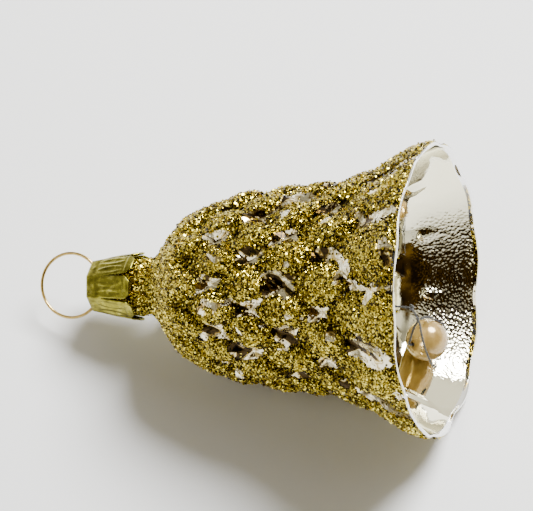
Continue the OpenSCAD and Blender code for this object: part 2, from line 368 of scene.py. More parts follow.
# Outer silver: painted reflection bands, bright cream lines with gold and dark edges, and near black for
# painted shade
outerReflectionBands = [
    (0.34, (1.0, 0.94, 0.70)), (0.40, (0.60, 0.45, 0.13)), (0.43, (1.0, 0.94, 0.69)),
    (0.52, (0.98, 0.90, 0.62)), (0.545, (0.35, 0.23, 0.045)), (0.565, (0.95, 0.86, 0.55)),
    (0.59, (0.40, 0.27, 0.06)), (0.62, (0.035, 0.020, 0.004)),
]
innerTones = [(0.3, (0.93, 0.89, 0.66)), (0.7, (0.97, 0.94, 0.72))]


# Silvered glass: fine mottling over long gentle ripples, and crinkled where the mesh says so. The outer
# colour ramp, moved by the bump's slope, paints reflection bands and painted shade, and the crinkled band
# is darkened with a painted dark reflection
def silverMaterial(name, tones, rough, mottleScale, fine, ripple):
    mat, nodes, links, shader = newMaterial(name)
    spots = addMottle(nodes, mottleScale, 1.0)
    colour = ramp(nodes, tones)
    streaks = addStreaks(nodes, silver["streaks"])
    flank = addNode(nodes, "ShaderNodeAttribute", attribute_name="flank")
    shift = addNode(nodes, "ShaderNodeMath", operation="MULTIPLY_ADD")
    shift.inputs[1].default_value = silver["flankShadeShift"]
    links.new(flank.outputs["Fac"], shift.inputs[0])
    links.new(streaks.outputs["Fac"], shift.inputs[2])
    links.new(shift.outputs[0], colour.inputs["Fac"])
    # Painted dark reflection: the crinkled band inside is darkened
    crinkle = addNode(nodes, "ShaderNodeAttribute", attribute_name="crinkle")
    dimReflection = addNode(nodes, "ShaderNodeMix", data_type="RGBA")
    dimReflection.inputs[7].default_value = silver["dimReflectionTint"]
    links.new(crinkle.outputs["Fac"], dimReflection.inputs["Factor"])
    links.new(colour.outputs["Color"], dimReflection.inputs[6])
    links.new(dimReflection.outputs[2], shader.inputs["Base Color"])
    gloss = addNode(nodes, "ShaderNodeMapRange", From_Min=0.3, From_Max=0.7,
                    To_Min=rough * 0.5, To_Max=rough * 1.5)
    links.new(spots.outputs["Mask"], gloss.inputs["Value"])
    links.new(gloss.outputs["Result"], shader.inputs["Roughness"])
    creased = addMottle(nodes, silver["folds"], 1.0)
    folds = addNode(nodes, "ShaderNodeMath", operation="MULTIPLY")
    links.new(creased.outputs["Height"], folds.inputs[0])
    links.new(crinkle.outputs["Fac"], folds.inputs[1])
    long = addMottle(nodes, silver["ripples"], 1.0)
    normal = None
    for source, lift in (
        (long.outputs["Mask"], ripple), (spots.outputs["Mask"], fine),
        (folds.outputs[0], silver["foldHeight"]),
    ):
        bump = addNode(nodes, "ShaderNodeBump", Strength=0.6, Distance=lift)
        links.new(source, bump.inputs["Height"])
        if normal:
            links.new(normal, bump.inputs["Normal"])
        normal = bump.outputs["Normal"]
    links.new(normal, shader.inputs["Normal"])
    shader.inputs["Metallic"].default_value = 1.0
    shader.inputs["Coat Weight"].default_value = 0.15
    shader.inputs["Coat Roughness"].default_value = 0.02
    return mat


def clearGlassMaterial():
    mat, nodes, links, shader = newMaterial("clearLip")
    shader.inputs["Base Color"].default_value = (0.88, 0.82, 0.62, 1)
    shader.inputs["Transmission Weight"].default_value = 1.0
    shader.inputs["IOR"].default_value = 1.5
    shader.inputs["Metallic"].default_value = 0.0
    spots = addMottle(nodes, 900.0, 1.0)
    gloss = addNode(nodes, "ShaderNodeMapRange", To_Min=0.02, To_Max=0.08)
    links.new(spots.outputs["Mask"], gloss.inputs["Value"])
    links.new(gloss.outputs["Result"], shader.inputs["Roughness"])
    return mat


glassBell = makeBell()
for mat in (
    silverMaterial("silverOutside", outerReflectionBands, 0.045, 700.0, 0.00006, 0.0009),
    silverMaterial("silverInside", innerTones, 0.045, 700.0, 0.00001, 0.00004),
    clearGlassMaterial(),
):
    glassBell.data.materials.append(mat)
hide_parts("glass_bell")
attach(glassBell, "bell")
print("bell blown:", len(glassBell.data.polygons), "faces")


glitter = {
    "seed": 7,
    "around": 432,               # crust cells round the bell
    "cell": 0.22,                # crust cell along the bell, mm
    "thick": (0.03, 0.22),       # crust over the glass, mm
    "flakes": 52000,
    "size": (0.13, 0.23),        # flake radius, mm
    "depth": 0.05,
    "tilt": 0.45,                # how far flakes lean off the surface
    "stand": (0.10, 0.34),       # height above the glass, mm
    "lowestPoint": 0.02,         # kept above the ground, mm
    "strays": 0.07,              # share of flakes stuck on bare glass
    "bareWidth": (0.44, 0.34),   # least width of a bare stretch of crease, and how much more it may be
    "bareLength": (0.45, 0.95),
    "bareLengthAcross": (0.40, 0.75),
    "bareSpread": (1.9, 0.75),   # on the side that faces the mouth, and on the other
    "bareBelow": 34,             # no bare glass nearer the neck, mm from the mouth
    # Painted shade on the glitter: the tone left in the deepest pits, and how much the mouth-facing flank
    # darkens crust and flakes
    "shadedPitTone": 0.12,
    "crustFlankShade": 0.6,
    "flakeFlankShade": 0.62,
}


def hash01(i, j, k):
    v = np.sin(i * 12.9898 + j * 78.233 + k * 37.719) * 43758.5453
    return v - np.floor(v)


def cloudNoise(z, a, scale, seed):
    out = np.empty(len(z))
    for n, (p, q) in enumerate(zip(z.tolist(), a.tolist())):
        out[n] = noise.noise(Vector((p * 0.06 * scale, math.cos(q) * scale, math.sin(q) * scale + seed)))
    return out


# 1 where glitter covers the glass; it thins out in the pits and along short lengths of crease
def glitterCover(z, a):
    turn = bell["bumpsRound"] / 2 * (a - math.pi / bell["bumpsRound"])
    row = math.pi / 2 * np.maximum(-0.6, z - bell["lobeHeight"]) / bell["rowPitch"]
    u, v = turn + row, turn - row
    i, j = np.floor(u / math.pi) % 24, np.floor(v / math.pi) % 24
    du, dv = u % math.pi - math.pi / 2, math.pi / 2 - v % math.pi

    def chosen(key, salt):
        return glitter[key][0] + glitter[key][1] * hash01(i, j, salt)

    wide = chosen("bareWidth", 3)
    spanU = wide * np.where(du > 0, *glitter["bareSpread"])
    spanV = wide * np.where(dv > 0, *glitter["bareSpread"])
    long = chosen("bareLength", 1)
    other = chosen("bareLengthAcross", 2)
    first = np.abs(du) / spanU + np.abs(dv) / long
    second = np.abs(dv) / spanV + np.abs(du) / other
    fine = cloudNoise(z, a, 9.0, 3.0)
    broad = cloudNoise(z, a, 2.6, 11.0)
    near = np.minimum(first, second) + 0.35 * fine + 0.8 * broad
    near += 2.5 * np.clip((z - 33) / 6, 0, 1) + 0.5 * np.clip((4 - z) / 2, 0, 1)
    smear = cloudNoise(z, a, 6.0, 29.0)
    bare = (near < 1.05) | ((smear > 0.42) & (z < glitter["bareBelow"]))
    return np.where(bare, 0.0, 1.0)


def bellSpot(z, a, lift):
    r = bellRadius(z, a) + lift
    return np.stack([r * np.cos(a), r * np.sin(a), z + lipShift(z, a)], -1)


def bellNormal(z, a):
    step = 0.02
    spot = bellSpot(z, a, 0)
    alongZ = bellSpot(z + step, a, 0) - spot
    alongA = bellSpot(z, a + step, 0) - spot
    alongA[..., 2] = 0
    normal = np.cross(alongA, alongZ)
    return normal / np.linalg.norm(normal, axis=-1)[..., None]


# The crust between two heights: a thin closed shell over the covered cells only
def crustPiece(name, low, high):
    rng = np.random.default_rng(glitter["seed"] + int(low))
    na = glitter["around"]
    nz = int(round((high - low) / glitter["cell"]))
    za = np.linspace(low, high, nz + 1)
    aa = np.arange(na) * 2 * math.pi / na
    zc, ac = np.meshgrid((za[:-1] + za[1:]) / 2, aa + math.pi / na, indexing="ij")
    cover = glitterCover(zc.ravel(), ac.ravel()).reshape(nz, na) > 0.5
    zv, av = np.meshgrid(za, aa, indexing="ij")
    inside = np.clip(np.minimum(zv - low, high - zv) / glitter["cell"], 0, 1) > 0.5
    zj = zv + inside * rng.uniform(-0.3, 0.3, zv.shape) * glitter["cell"]
    aj = av + rng.uniform(-0.3, 0.3, zv.shape) * 2 * math.pi / na
    lift = rng.uniform(*glitter["thick"], zv.shape)
    flat = (zj.ravel(), aj.ravel())
    normal = bellNormal(*flat)
    base = bellSpot(*flat, 0)
    outer = toWorld(base + normal * lift.ravel()[:, None])
    inner = toWorld(base - normal * 0.05)
    lowest = glitter["lowestPoint"] / 1000
    outer[:, 2] = np.maximum(outer[:, 2], lowest)
    inner[:, 2] = np.maximum(inner[:, 2], lowest)
    # Painted shade: the crust is darker in the creases and on the flank facing the mouth
    form = bumpForm(zc, ac) * (1 - glitter["crustFlankShade"] * np.clip(mouthFlank(zc, ac), 0, 1))
    used = {}
    points, faces, shades = [], [], []

    def vert(layer, i, k):
        key = (layer, i, k % na)
        if key not in used:
            used[key] = len(points)
            source = outer if layer == 0 else inner
            points.append(source[i * na + k % na].tolist())
        return used[key]

    for i in range(nz):
        for k in range(na):
            if not cover[i, k]:
                continue
            a, b, c, d = (i, k), (i, k + 1), (i + 1, k + 1), (i + 1, k)
            faces.append([vert(0, *p) for p in (a, b, c, d)])
            faces.append([vert(1, *p) for p in (d, c, b, a)])
            shades.extend([form[i, k]] * 2)
            sides = (
                (i == 0 or not cover[i - 1, k], a, b),
                (not cover[i, (k + 1) % na], b, c),
                (i == nz - 1 or not cover[i + 1, k], c, d),
                (not cover[i, k - 1], d, a),
            )
            for openSide, p, q in sides:
                if openSide:
                    faces.append([vert(0, *q), vert(0, *p), vert(1, *p), vert(1, *q)])
                    shades.append(form[i, k])
    mesh = bpy.data.meshes.new(name)
    mesh.from_pydata(points, [], faces)
    mesh.update()
    obj = bpy.data.objects.new(name, mesh)
    bpy.context.scene.collection.objects.link(obj)
    tone = rng.uniform(0, 1, len(faces)) * (glitter["shadedPitTone"] + 0.62 * np.array(shades))
    mark = mesh.attributes.new("flakeTone", "FLOAT", "FACE")
    mark.data.foreach_set("value", tone)
    return obj


def makeFlakes():
    rng = np.random.default_rng(glitter["seed"])
    count = glitter["flakes"]
    z = rng.uniform(0.35, 50.5, count)
    a = rng.uniform(0, 2 * math.pi, count)
    keep = rng.uniform(0, 1, count) < crestRadius(z) / bell["mouthRadius"]
    z, a = z[keep], a[keep]
    cover = glitterCover(z, a)
    keep = rng.uniform(0, 1, len(z)) < np.maximum(cover, glitter["strays"])
    z, a, cover = z[keep], a[keep], cover[keep]
    n = len(z)
    normal = bellNormal(z, a)
    stand = rng.uniform(*glitter["stand"], n) * (0.25 + 0.75 * cover)
    spot = bellSpot(z, a, 0) + normal * stand[:, None]
    normal = normal + rng.normal(0, glitter["tilt"], (n, 3)) * (0.3 + 0.7 * cover[:, None])
    normal /= np.linalg.norm(normal, axis=1)[:, None]
    side = np.cross(normal, rng.normal(0, 1, (n, 3)))
    side /= np.linalg.norm(side, axis=1)[:, None]
    other = np.cross(normal, side)
    size = rng.uniform(*glitter["size"], n)
    pts = np.empty((n, 7, 3))
    for k in range(6):
        reach = (size * rng.uniform(0.82, 1.18, n))[:, None]
        turn = k * math.pi / 3
        pts[:, k] = spot + (side * math.cos(turn) + other * math.sin(turn)) * reach
    pts[:, 6] = spot - normal * glitter["depth"]
    world = toWorld(pts.reshape(-1, 3)).reshape(n, 7, 3)
    clear = world[:, :, 2].min(axis=1) > glitter["lowestPoint"] / 1000
    # Painted shade: flakes are darker on the flank facing the mouth and in the creases
    flankShade = 1 - glitter["flakeFlankShade"] * np.clip(mouthFlank(z, a), 0, 1)
    tone = rng.uniform(0.05, 1.2, n) * (0.42 + 0.58 * bumpForm(z, a)) * flankShade
    return world[clear], tone[clear], z[clear]


def flakePiece(name, world, tone):
    faces, tones = [], []
    for b, t in zip(range(0, len(world) * 7, 7), tone.tolist()):
        faces.append((b, b + 1, b + 2, b + 3, b + 4, b + 5))
        for k in range(6):
            faces.append((b + (k + 1) % 6, b + k, b + 6))
        tones.extend([t] * 7)
    obj = newObject(name, world.reshape(-1, 3), faces, world=False)
    mark = obj.data.attributes.new("flakeTone", "FLOAT", "FACE")
    mark.data.foreach_set("value", tones)
    return obj


# A shared group: gold flakes as a colour, a roughness and a normal that leans per cell
def makeFlakeField():
    group = bpy.data.node_groups.new("flakeField", "ShaderNodeTree")
    face = group.interface
    face.new_socket("Tone", in_out="INPUT", socket_type="NodeSocketFloat")
    face.new_socket("Scale", in_out="INPUT", socket_type="NodeSocketFloat")
    face.new_socket("Lean", in_out="INPUT", socket_type="NodeSocketFloat")
    face.new_socket("Color", in_out="OUTPUT", socket_type="NodeSocketColor")
    face.new_socket("Roughness", in_out="OUTPUT", socket_type="NodeSocketFloat")
    face.new_socket("Normal", in_out="OUTPUT", socket_type="NodeSocketVector")
    nodes, links = group.nodes, group.links
    start, end = nodes.new("NodeGroupInput"), nodes.new("NodeGroupOutput")
    spot = nodes.new("ShaderNodeTexCoord")
    face = nodes.new("ShaderNodeNewGeometry")
    cells = addNode(nodes, "ShaderNodeTexVoronoi", feature="F1")
    links.new(spot.outputs["Object"], cells.inputs["Vector"])
    links.new(start.outputs["Scale"], cells.inputs["Scale"])
    centre = addNode(nodes, "ShaderNodeVectorMath", operation="SUBTRACT")
    centre.inputs[1].default_value = (0.5, 0.5, 0.5)
    links.new(cells.outputs["Color"], centre.inputs[0])
    lean = addNode(nodes, "ShaderNodeVectorMath", operation="SCALE")
    links.new(centre.outputs[0], lean.inputs[0])
    links.new(start.outputs["Lean"], lean.inputs["Scale"])
    total = addNode(nodes, "ShaderNodeVectorMath", operation="ADD")
    links.new(face.outputs["Normal"], total.inputs[0])
    links.new(lean.outputs[0], total.inputs[1])
    unit = addNode(nodes, "ShaderNodeVectorMath", operation="NORMALIZE")
    links.new(total.outputs[0], unit.inputs[0])
    links.new(unit.outputs[0], end.inputs["Normal"])
    split = nodes.new("ShaderNodeSeparateColor")
    links.new(cells.outputs["Color"], split.inputs[0])
    tone = addNode(nodes, "ShaderNodeMix", data_type="FLOAT")
    tone.inputs[0].default_value = 0.5
    links.new(split.outputs[0], tone.inputs[2])
    links.new(start.outputs["Tone"], tone.inputs[3])
    colour = ramp(nodes, glitterTones)
    links.new(tone.outputs[0], colour.inputs["Fac"])
    links.new(colour.outputs["Color"], end.inputs["Color"])
    gloss = addNode(nodes, "ShaderNodeMapRange", To_Min=0.08, To_Max=0.36)
    links.new(split.outputs[1], gloss.inputs["Value"])
    links.new(gloss.outputs["Result"], end.inputs["Roughness"])
    return group


# Gold glitter from near black to bright; the painted crease and flank shade push the tone to the dark end
glitterTones = [
    (0.20, (0.004, 0.002, 0.001)), (0.34, (0.11, 0.072, 0.004)),
    (0.47, (0.46, 0.33, 0.016)), (0.61, (1.0, 0.85, 0.15)),
]
flakeField = makeFlakeField()


def glitterMaterial(name, scale, lean):
    mat, nodes, links, shader = newMaterial(name)
    tone = addNode(nodes, "ShaderNodeAttribute", attribute_name="flakeTone")
    field = nodes.new("ShaderNodeGroup")
    field.node_tree = flakeField
    field.inputs["Scale"].default_value = scale
    field.inputs["Lean"].default_value = lean
    links.new(tone.outputs["Fac"], field.inputs["Tone"])
    links.new(field.outputs["Color"], shader.inputs["Base Color"])
    links.new(field.outputs["Roughness"], shader.inputs["Roughness"])
    links.new(field.outputs["Normal"], shader.inputs["Normal"])
    shader.inputs["Metallic"].default_value = 1.0
    return mat


crustGold = glitterMaterial("goldCrust", 4200.0, 0.8)
flakeGold = glitterMaterial("goldFlakes", 2200.0, 0.5)
zones = {"Rim": (0.2, 9.0), "Waist": (9.0, 24.0), "Shoulder": (24.0, 38.0), "Neck": (38.0, 50.8)}
flakeWorld, flakeTone, flakeHeight = makeFlakes()
for name, (low, high) in zones.items():
    pick = (flakeHeight >= low) & (flakeHeight < high)
    flakes = flakePiece("flakes" + name, flakeWorld[pick], flakeTone[pick])
    flakes.data.materials.append(flakeGold)
    crust = crustPiece("crust" + name, low, high)
    crust.data.materials.append(crustGold)
    for piece in (crust, flakes):
        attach(piece, "bell")
    print("glitter", name, len(crust.data.polygons), "crust faces", int(pick.sum()), "flakes")


capSizes = {
    "top": 55.4,
    "topHalf": 3.83,
    "height": 7.8,
    "flare": 10.5,
    "sheet": 0.22,
    "petals": 8,
    "slit": 0.9,
    "band": 1.2,
    "clip": 0.8,
    "turn": 56.0,
}


# Raised ribs that bow towards each other: u across from -1 to 1, w along in mm
def capEmboss(u, w, half, length):
    lift = 0.0
    middle = length * 0.52
    reach = length * 0.30
    t = (w - middle) / reach
    if abs(t) < 1:
        for side in (-1, 1):
            bow = side * (0.42 - 0.24 * (1 - t * t))
            lift += 0.16 * math.exp(-((u - bow) / 0.13) ** 2) * (1 - t * t) ** 0.5
            edge = side * (0.62 + 0.2 * (1 - t * t))
            lift += 0.10 * math.exp(-((u - edge) / 0.1) ** 2) * (1 - t * t) ** 0.5
    rib = length * 0.875
    lift += 0.12 * math.exp(-((w - rib) / 0.16) ** 2) * max(0.0, 1 - abs(u) ** 4)
    dot = math.hypot(u * half, w - length * 0.14)
    lift += 0.10 * math.exp(-(dot / 0.28) ** 2)
    return lift


def petalMesh(index, points, faces):
    c = capSizes
    length = c["height"] / math.cos(math.radians(c["flare"]))
    part = math.tan(math.pi / c["petals"])
    openHalf = c["topHalf"] + c["height"] * math.tan(math.radians(c["flare"]))
    foldHalf = c["topHalf"] * part
    endHalf = openHalf * part - c["slit"] / 2
    across, down = 22, 46
    start = len(points)
    turn = math.radians(c["turn"] + 360 / c["petals"] * index)
    flare = math.radians(c["flare"])
    for layer in (0, 1):
        for j in range(down + 1):
            w = length * j / down
            if w < c["band"]:
                half = foldHalf + w * math.sin(flare) * part
            else:
                ease = min(1.0, (w - c["band"]) / 0.35)
                half = (foldHalf + c["band"] * math.sin(flare) * part) * (1 - ease) + endHalf * ease
            half -= max(0.0, w - (length - c["clip"]))
            for i in range(across + 1):
                u = 2 * i / across - 1
                lift = capEmboss(u, w, half, length)
                curl = 0.10 * u * u * min(1.0, w / 3)
                fold = 0.35 * math.exp(-w / 0.22)     # rounded top fold
                out = c["topHalf"] + w * math.sin(flare) + lift - curl - fold * 0.35
                out -= layer * c["sheet"]
                z = c["top"] - w * math.cos(flare) - fold * 0.1
                x, y = out, u * half
                points.append((x * math.cos(turn) - y * math.sin(turn),
                               x * math.sin(turn) + y * math.cos(turn), z))
    row = across + 1
    layerSize = row * (down + 1)

    def at(layer, j, i):
        return start + layer * layerSize + j * row + i

    for j in range(down):
        for i in range(across):
            faces.append((at(0, j, i), at(0, j + 1, i), at(0, j + 1, i + 1), at(0, j, i + 1)))
            faces.append((at(1, j, i), at(1, j, i + 1), at(1, j + 1, i + 1), at(1, j + 1, i)))
    for j in range(down):
        faces.append((at(0, j, 0), at(1, j, 0), at(1, j + 1, 0), at(0, j + 1, 0)))
        faces.append((at(0, j, across), at(0, j + 1, across), at(1, j + 1, across), at(1, j, across)))
    for i in range(across):
        faces.append((at(0, 0, i), at(0, 0, i + 1), at(1, 0, i + 1), at(1, 0, i)))
        faces.append((at(0, down, i), at(1, down, i), at(1, down, i + 1), at(0, down, i + 1)))


def capTopMesh(points, faces):
    c = capSizes
    rings, n = 10, 64
    start = len(points)
    heights = (0.0, -c["sheet"])
    wedge = 360 / c["petals"]
    for layer in (0, 1):
        points.append((0, 0, c["top"] + 0.12 + heights[layer]))
        for j in range(1, rings + 1):
            share = j / rings
            for k in range(n):
                a = 2 * math.pi * k / n
                local = (math.degrees(a) - wedge / 2) % wedge - wedge / 2
                flat = c["topHalf"] / math.cos(math.radians(local))
                r = flat * share * 0.985
                dome = 0.12 * (1 - share ** 2) - 0.10 * max(0, share - 0.85) / 0.15
                turn = a + math.radians(c["turn"])
                points.append((r * math.cos(turn), r * math.sin(turn), c["top"] + dome + heights[layer]))
    size = 1 + rings * n

    def at(layer, j, k):
        return start + layer * size + 1 + (j - 1) * n + k % n

    for layer in (0, 1):
        for k in range(n):
            tri = (start + layer * size, at(layer, 1, k), at(layer, 1, k + 1))
            faces.append(tri if layer == 0 else tri[::-1])
        for j in range(1, rings):
            for k in range(n):
                quad = (at(layer, j, k), at(layer, j + 1, k), at(layer, j + 1, k + 1), at(layer, j, k + 1))
                faces.append(quad if layer == 0 else quad[::-1])
    for k in range(n):
        faces.append((at(0, rings, k), at(1, rings, k), at(1, rings, k + 1), at(0, rings, k + 1)))


def capMaterial():
    mat, nodes, links, shader = newMaterial("capMetal")
    spots = addMottle(nodes, 900.0, 1.0)
    colour = ramp(nodes, [
        (0.25, (0.11, 0.095, 0.008)), (0.55, (0.33, 0.30, 0.04)), (0.8, (0.58, 0.53, 0.13)),
    ])
    links.new(spots.outputs["Mask"], colour.inputs["Fac"])
    links.new(colour.outputs["Color"], shader.inputs["Base Color"])
    gloss = addNode(nodes, "ShaderNodeMapRange", To_Min=0.16, To_Max=0.36)
    links.new(spots.outputs["Mask"], gloss.inputs["Value"])
    links.new(gloss.outputs["Result"], shader.inputs["Roughness"])
    bump = addNode(nodes, "ShaderNodeBump", Strength=0.25, Distance=0.0001)
    links.new(spots.outputs["Height"], bump.inputs["Height"])
    links.new(bump.outputs["Normal"], shader.inputs["Normal"])
    shader.inputs["Metallic"].default_value = 1.0
    return mat


def makeCap():
    points, faces = [], []
    for k in range(capSizes["petals"]):
        petalMesh(k, points, faces)
    capTopMesh(points, faces)
    obj = newObject("metalCap", points, faces)
    smooth(obj)
    obj.data.materials.append(capMaterial())
    return obj


metalCap = makeCap()
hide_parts("cap_crown")
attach(metalCap, "cap")
print("cap pressed")


def sweep(path, radius, sides, closed=False, twist=0.0):
    pts = [Vector(p) for p in path]
    n = len(pts)
    rings, carry = [], None
    for i in range(n):
        before = pts[i - 1] if (i > 0 or closed) else pts[0]
        after = pts[(i + 1) % n] if (i < n - 1 or closed) else pts[-1]
        way = (after - before).normalized()
        if carry is None:
            carry = way.orthogonal().normalized()
        carry = (carry - way * carry.dot(way)).normalized()
        up = way.cross(carry)
        r = radius(i / (n - 1)) if callable(radius) else radius
        for k in range(sides):
            a = 2 * math.pi * k / sides + twist * i
            rings.append(pts[i] + (carry * math.cos(a) + up * math.sin(a)) * r)
    faces = []
    last = n if closed else n - 1
    for i in range(last):
        j = (i + 1) % n
        for k in range(sides):
            m = (k + 1) % sides
            faces.append((i * sides + k, i * sides + m, j * sides + m, j * sides + k))
    if not closed:
        faces.append(tuple(reversed(range(sides))))
        faces.append(tuple((n - 1) * sides + k for k in range(sides)))
    return [tuple(p) for p in rings], faces


def joinSweeps(name, parts):
    points, faces = [], []
    for pts, fcs in parts:
        start = len(points)
        points.extend(pts)
        faces.extend(tuple(start + v for v in f) for f in fcs)
    obj = newObject(name, points, faces)
    smooth(obj)
    return obj


# Smooth line through a route, with the same rule as the solids
def routeLine(route, steps):
    pts = [Vector(p) for p in route]

    def heading(i):
        return (pts[min(i + 1, len(pts) - 1)] - pts[max(i - 1, 0)]).normalized()

    line = []
    for i in range(len(pts) - 1):
        p, q = pts[i], pts[i + 1]
        w = (q - p).length
        for k in range(steps):
            t = k / steps
            line.append(p * (1 + 2 * t) * (1 - t) ** 2 + heading(i) * w * t * (1 - t) ** 2
                        + q * t * t * (3 - 2 * t) + heading(i + 1) * w * t * t * (t - 1))
    line.append(pts[-1])
    return line


# Two plies wound round a centre line
def twistedPly(line, radius, pitch, plies=2):
    parts, travelled = [], [0.0]
    for a, b in zip(line, line[1:]):
        travelled.append(travelled[-1] + (b - a).length)
    carry = None
    sides = []
    for i, p in enumerate(line):
        way = (line[min(i + 1, len(line) - 1)] - line[max(i - 1, 0)]).normalized()
        if carry is None:
            carry = way.orthogonal().normalized()
        carry = (carry - way * carry.dot(way)).normalized()
        sides.append((carry.copy(), way.cross(carry)))
    for ply in range(plies):
        path = []
        for (s, u), p, d in zip(sides, line, travelled):
            a = 2 * math.pi * (d / pitch + ply / plies)
            path.append(p + (s * math.cos(a) + u * math.sin(a)) * radius * 0.48)
        parts.append(sweep(path, radius * 0.56, 8))
    return parts


hanger = {
    "wire": 0.25,
    "ring": 5.0,
    "rise": 4.237,
    "leg": 2.95,
    "legReach": 12.0,
    "turn": 56.0,
    "steps": 160,
    "legSteps": 12,
    "legTop": 0.9,              # straight part of a leg ends this far below the cap's top
}


def makeHanger():
    h = hanger
    centre = capSizes["top"] + h["rise"]
    gap = math.asin(h["leg"] / h["ring"])
    n = h["legSteps"]
    foot = capSizes["top"] - h["legReach"]
    rungs = [foot + k / (n + 1) * (h["legReach"] - h["legTop"]) for k in range(1, n + 1)]
    path = [(-h["leg"], z) for z in [foot] + rungs]
    for k in range(h["steps"] + 1):
        a = -math.pi / 2 - gap - (2 * math.pi - 2 * gap) * k / h["steps"]
        path.append((h["ring"] * math.cos(a), centre + h["ring"] * math.sin(a)))
    path += [(h["leg"], z) for z in rungs[::-1] + [foot]]
    turn = math.radians(h["turn"])
    line = [(u * math.cos(turn), u * math.sin(turn), z) for u, z in path]
    return joinSweeps("hangerWire", [sweep(line, h["wire"], 16)])


def wireMaterial():
    mat, nodes, links, shader = newMaterial("hangerWire")
    spots = addMottle(nodes, 1500.0, 1.0)
    colour = ramp(nodes, [(0.3, (0.50, 0.34, 0.10)), (0.7, (0.78, 0.58, 0.24))])
    links.new(spots.outputs["Mask"], colour.inputs["Fac"])
    links.new(colour.outputs["Color"], shader.inputs["Base Color"])
    gloss = addNode(nodes, "ShaderNodeMapRange", To_Min=0.12, To_Max=0.3)
    links.new(spots.outputs["Mask"], gloss.inputs["Value"])
    links.new(gloss.outputs["Result"], shader.inputs["Roughness"])
    shader.inputs["Metallic"].default_value = 1.0
    return mat


hangerWire = makeHanger()
hangerWire.data.materials.append(wireMaterial())
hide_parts("hanger_wire")
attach(hangerWire, "hanger")
print("hanger bent")


pearl = {
    "radius": 3.25,
    "hole": 0.4,
    "inset": 5.5,
    "drop": 14.43,
    "axis": (0.61, -0.63, 0.48),   # of its hole
    "lip": 0.16,
    "steps": 64,
    "round": 96,
}
beadSpot = Vector((-pearl["drop"], 0, pearl["inset"]))

clapper = {
    "thread": 0.18,
    "pitch": 1.1,
    "knot": 0.55,
    "knotDrop": 5.0,
    "knotInset": 5.5,
    "knotGap": 0.12,
    "stayHeight": 46.5,
    "stayTurn": -11.5,
}


def pearlMaterial():
    mat, nodes, links, shader = newMaterial("pearlLustre")
    spots = addMottle(nodes, 700.0, 1.0)
    body = ramp(nodes, [(0.3, (0.30, 0.18, 0.045)), (0.7, (0.48, 0.32, 0.095))])
    links.new(spots.outputs["Mask"], body.inputs["Fac"])
    links.new(body.outputs["Color"], shader.inputs["Base Color"])
    gloss = addNode(nodes, "ShaderNodeMapRange", To_Min=0.14, To_Max=0.26)
    links.new(spots.outputs["Mask"], gloss.inputs["Value"])
    links.new(gloss.outputs["Result"], shader.inputs["Roughness"])
    shader.inputs["Coat Weight"].default_value = 1.0
    shader.inputs["Coat Roughness"].default_value = 0.04
    shader.inputs["Metallic"].default_value = 0.35
    shader.inputs["Subsurface Weight"].default_value = 0.12
    shader.inputs["Subsurface Radius"].default_value = (0.0012, 0.0008, 0.0006)
    return mat


# Pearl turned as one closed profile with a rolled edge round the hole
def makePearl():
    r, h, lip = pearl["radius"], pearl["hole"], pearl["lip"]
    profile = []
    top = math.sqrt(r * r - (h + lip) ** 2)
    startAngle = math.asin((h + lip) / r)
    for k in range(pearl["steps"] + 1):
        a = startAngle + (math.pi - 2 * startAngle) * k / pearl["steps"]
        profile.append((r * math.sin(a), r * math.cos(a)))
    for k in range(1, 6):
        a = k / 6 * math.pi / 2
        profile.append((h + lip * (1 - math.sin(a)), -top + lip * (1 - math.cos(a))))
    for k in range(9):
        profile.append((h, (-top + lip) * (1 - k / 4)))
    for k in range(5, 0, -1):
        a = k / 6 * math.pi / 2
        profile.append((h + lip * (1 - math.sin(a)), top - lip * (1 - math.cos(a))))
    n = pearl["round"]
    turn = Vector((0, 0, 1)).rotation_difference(Vector(pearl["axis"])).to_matrix()
    points, faces = [], []
    for p, q in profile:
        for k in range(n):
            a = 2 * math.pi * k / n
            points.append(tuple(beadSpot + turn @ Vector((p * math.cos(a), p * math.sin(a), q))))
    m = len(profile)
    for i in range(m):
        j = (i + 1) % m
        for k in range(n):
            faces.append((i * n + k, j * n + k, j * n + (k + 1) % n, i * n + (k + 1) % n))
    obj = newObject("pearlBead", points, faces)
    smooth(obj)
    obj.data.materials.append(pearlMaterial())
    return obj


pearlBead = makePearl()
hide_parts("pearl_bead")
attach(pearlBead, "bead")


def threadMaterial():
    mat, nodes, links, shader = newMaterial("blackThread")
    spots = addMottle(nodes, 4000.0, 1.0)
    colour = ramp(nodes, [(0.3, (0.008, 0.008, 0.009)), (0.75, (0.035, 0.033, 0.032))])
    links.new(spots.outputs["Mask"], colour.inputs["Fac"])
    links.new(colour.outputs["Color"], shader.inputs["Base Color"])
    bump = addNode(nodes, "ShaderNodeBump", Strength=0.4, Distance=0.00004)
    links.new(spots.outputs["Mask"], bump.inputs["Height"])
    links.new(bump.outputs["Normal"], shader.inputs["Normal"])
    shader.inputs["Roughness"].default_value = 0.6
    shader.inputs["Sheen Weight"].default_value = 0.3
    return mat


blackThread = threadMaterial()
fork = pearl["drop"] - 8.4
bead = pearl["radius"]
pivot = bell["pivotHeight"]
spanFrom = clapper["knotInset"]
span = pivot - clapper["knot"] - clapper["knotGap"] - spanFrom

